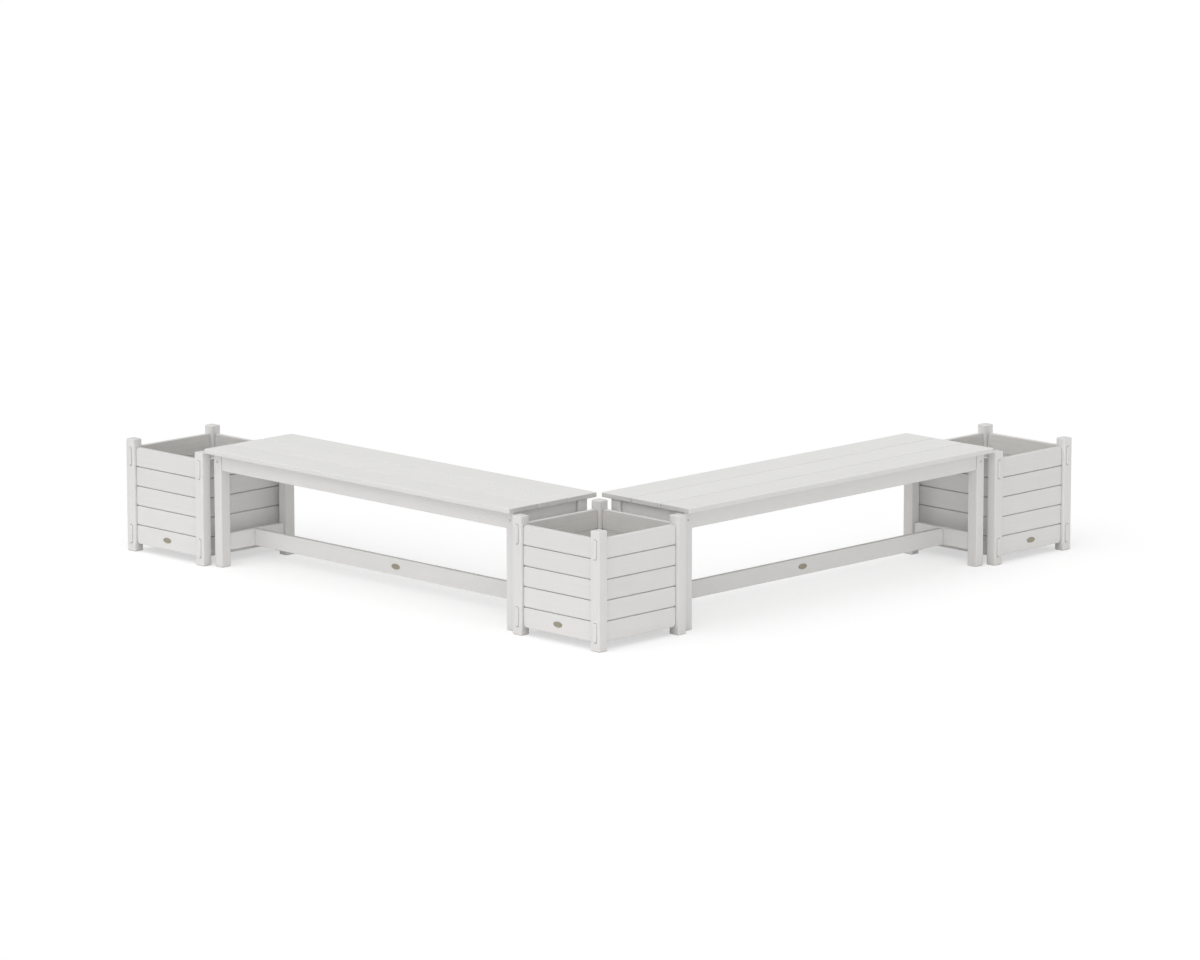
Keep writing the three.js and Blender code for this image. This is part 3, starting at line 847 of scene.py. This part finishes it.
class PLANTERSET_OT_build_stage(bpy.types.Operator):
    """Set the floor, the light and the camera."""

    bl_idname = "planter_set.build_stage"
    bl_label = "Build the stage"

    def execute(self, context):
        settings = context.scene.planter_set_stage
        self.floor(context, settings)
        self.light(context, settings)
        self.camera(context, settings)
        context.scene.view_settings.view_transform = "Standard"
        return {"FINISHED"}

    @staticmethod
    def floor(context, settings):
        """One large square on the ground."""
        half = settings.floor_span / 2
        corners = [(-half, -half, 0.0), (half, -half, 0.0), (half, half, 0.0), (-half, half, 0.0)]
        mesh = bpy.data.meshes.new("studio_floor")
        mesh.from_pydata(corners, [], [(0, 1, 2, 3)])
        mesh.materials.append(floor_finish(settings.floor_glow))
        floor = bpy.data.objects.new("studio_floor", mesh)
        context.scene.collection.objects.link(floor)

    @staticmethod
    def light(context, settings):
        """An even pale sky that is seen as white, a broad key light from above and the camera's
        left, and a low fill light from a little to the camera's right."""
        world = bpy.data.worlds.new("studio_sky")
        world.use_nodes = True
        context.scene.world = world
        sky = Finish(world.node_tree)
        strength = settings.sky_strength + (1.0 - settings.sky_strength) * sky.seen_ray()
        background = sky.node("Background", {}, {"Strength": strength})
        sky.node("OutputWorld", {}, {"Surface": background})
        for name in ("key", "fill"):
            sun = bpy.data.lights.new(f"{name}_light", "SUN")
            sun.energy = getattr(settings, f"{name}_strength")
            sun.angle = getattr(settings, f"{name}_spread")
            lamp = bpy.data.objects.new(f"{name}_light", sun)
            toward = getattr(settings, f"{name}_from")
            lamp.rotation_euler = toward.to_track_quat("Z", "Y").to_euler()
            context.scene.collection.objects.link(lamp)

    @staticmethod
    def camera(context, settings):
        """The camera stands on the line that halves the L's outer corner, at its distance from
        the corner planter's outermost post. The offsets are the small sideways step, turn and
        roll that the view has."""
        sideways, turn, roll = -0.0108, 0.00067, -0.00079
        diagonal = math.sqrt(0.5)
        ahead, right = np.array([diagonal, diagonal, 0]), np.array([diagonal, -diagonal, 0])
        corner, _ = node_box("corner_planter_face_right_post")
        place = corner - settings.camera_distance * ahead + sideways * right
        place[UP] = settings.camera_height
        camera = bpy.data.cameras.new("camera")
        camera.sensor_width = 36.0
        camera.sensor_fit = "HORIZONTAL"
        camera.lens = settings.lens
        camera.clip_end = 200.0
        viewer = bpy.data.objects.new("camera", camera)
        viewer.location = place
        heading = Matrix.Rotation(-math.pi / 4 - turn, 3, "Z")
        tilt = Matrix.Rotation(math.pi / 2 - settings.camera_pitch, 3, "X")
        viewer.rotation_euler = (heading @ tilt @ Matrix.Rotation(roll, 3, "Z")).to_euler()
        context.scene.collection.objects.link(viewer)
        context.scene.camera = viewer


class PLANTERSET_PT_panel(bpy.types.Panel):
    """Lists the settings and the steps that make the set."""

    bl_idname = "PLANTERSET_PT_panel"
    bl_label = "Planter set"
    bl_space_type = "VIEW_3D"
    bl_region_type = "UI"
    bl_category = "Planter set"

    def draw(self, context):
        for group, kind in SETTINGS.items():
            box = self.layout.box()
            box.label(text=kind.__doc__)
            settings = getattr(context.scene, group)
            for key in kind.__annotations__:
                box.prop(settings, key)
        for step in STEPS:
            self.layout.operator(step.bl_idname)


SETTINGS = {
    "planter_set_lumber": LumberSettings,
    "planter_set_badge": BadgeSettings,
    "planter_set_screw": ScrewSettings,
    "planter_set_stage": StageSettings,
}
STEPS = (
    PLANTERSET_OT_build_stage,
    PLANTERSET_OT_finish_lumber,
    PLANTERSET_OT_add_badges,
    PLANTERSET_OT_add_leg_screws,
    PLANTERSET_OT_add_floor_screws,
    PLANTERSET_OT_add_seat_screws,
)
CLASSES = (*SETTINGS.values(), *STEPS, PLANTERSET_PT_panel)


def register():
    """Registers the settings, the steps and the panel."""
    for kind in CLASSES:
        bpy.utils.register_class(kind)
    for group, kind in SETTINGS.items():
        setattr(bpy.types.Scene, group, bpy.props.PointerProperty(type=kind))


def unregister():
    """Takes away what register() added."""
    for group in SETTINGS:
        delattr(bpy.types.Scene, group)
    for kind in reversed(CLASSES):
        bpy.utils.unregister_class(kind)


def main():
    """Makes the stage and every finish and piece."""
    register()
    bpy.ops.planter_set.build_stage()
    bpy.ops.planter_set.finish_lumber()
    bpy.ops.planter_set.add_badges()
    bpy.ops.planter_set.add_leg_screws()
    bpy.ops.planter_set.add_floor_screws()
    bpy.ops.planter_set.add_seat_screws()


if __name__ == "__main__":
    main()
